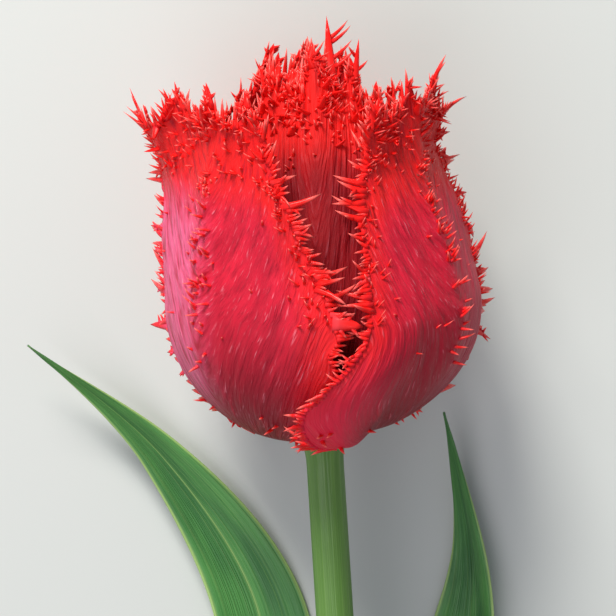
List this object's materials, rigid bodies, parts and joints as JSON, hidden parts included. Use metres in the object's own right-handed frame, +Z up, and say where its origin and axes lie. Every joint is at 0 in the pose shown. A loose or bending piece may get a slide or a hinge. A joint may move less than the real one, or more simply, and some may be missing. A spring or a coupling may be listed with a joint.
{
  "type": "fringed tulip, cut flower",
  "caption": "Crimson fringed tulip with toothed tepal edges, a round green stem and two long leaves, lying down as a picked flower.",
  "frame": {"origin": "centre of the footprint of the lying flower, on the surface that it rests on", "axes": "+Y along the stem towards the bloom's tip, +Z up from the surface, +X to the right of the bloom as seen from above"},
  "size_m": [0.1068, 0.3779, 0.0738],
  "materials": {
    "outer_tepal": "satin crimson petal tissue with scarlet fringe",
    "inner_tepal": "satin deep red petal tissue",
    "stem": "smooth mid green stem tissue",
    "leaf": "satin blue-green leaf tissue with paler edges",
    "pistil": "pale yellow-green",
    "stamen": "dark powdery anthers"
  },
  "bodies": {
    "root": {"tepal_outer_left": "outer_tepal", "tepal_outer_right": "outer_tepal", "tepal_outer_back": "outer_tepal", "tepal_inner_front": "inner_tepal", "tepal_inner_left": "inner_tepal", "tepal_inner_right": "inner_tepal", "stem": "stem", "leaf_lower": "leaf", "leaf_upper": "leaf", "pistil": "pistil", "stamen_1": "stamen", "stamen_2": "stamen", "stamen_3": "stamen", "stamen_4": "stamen", "stamen_5": "stamen", "stamen_6": "stamen"}
  },
  "joints": []
}
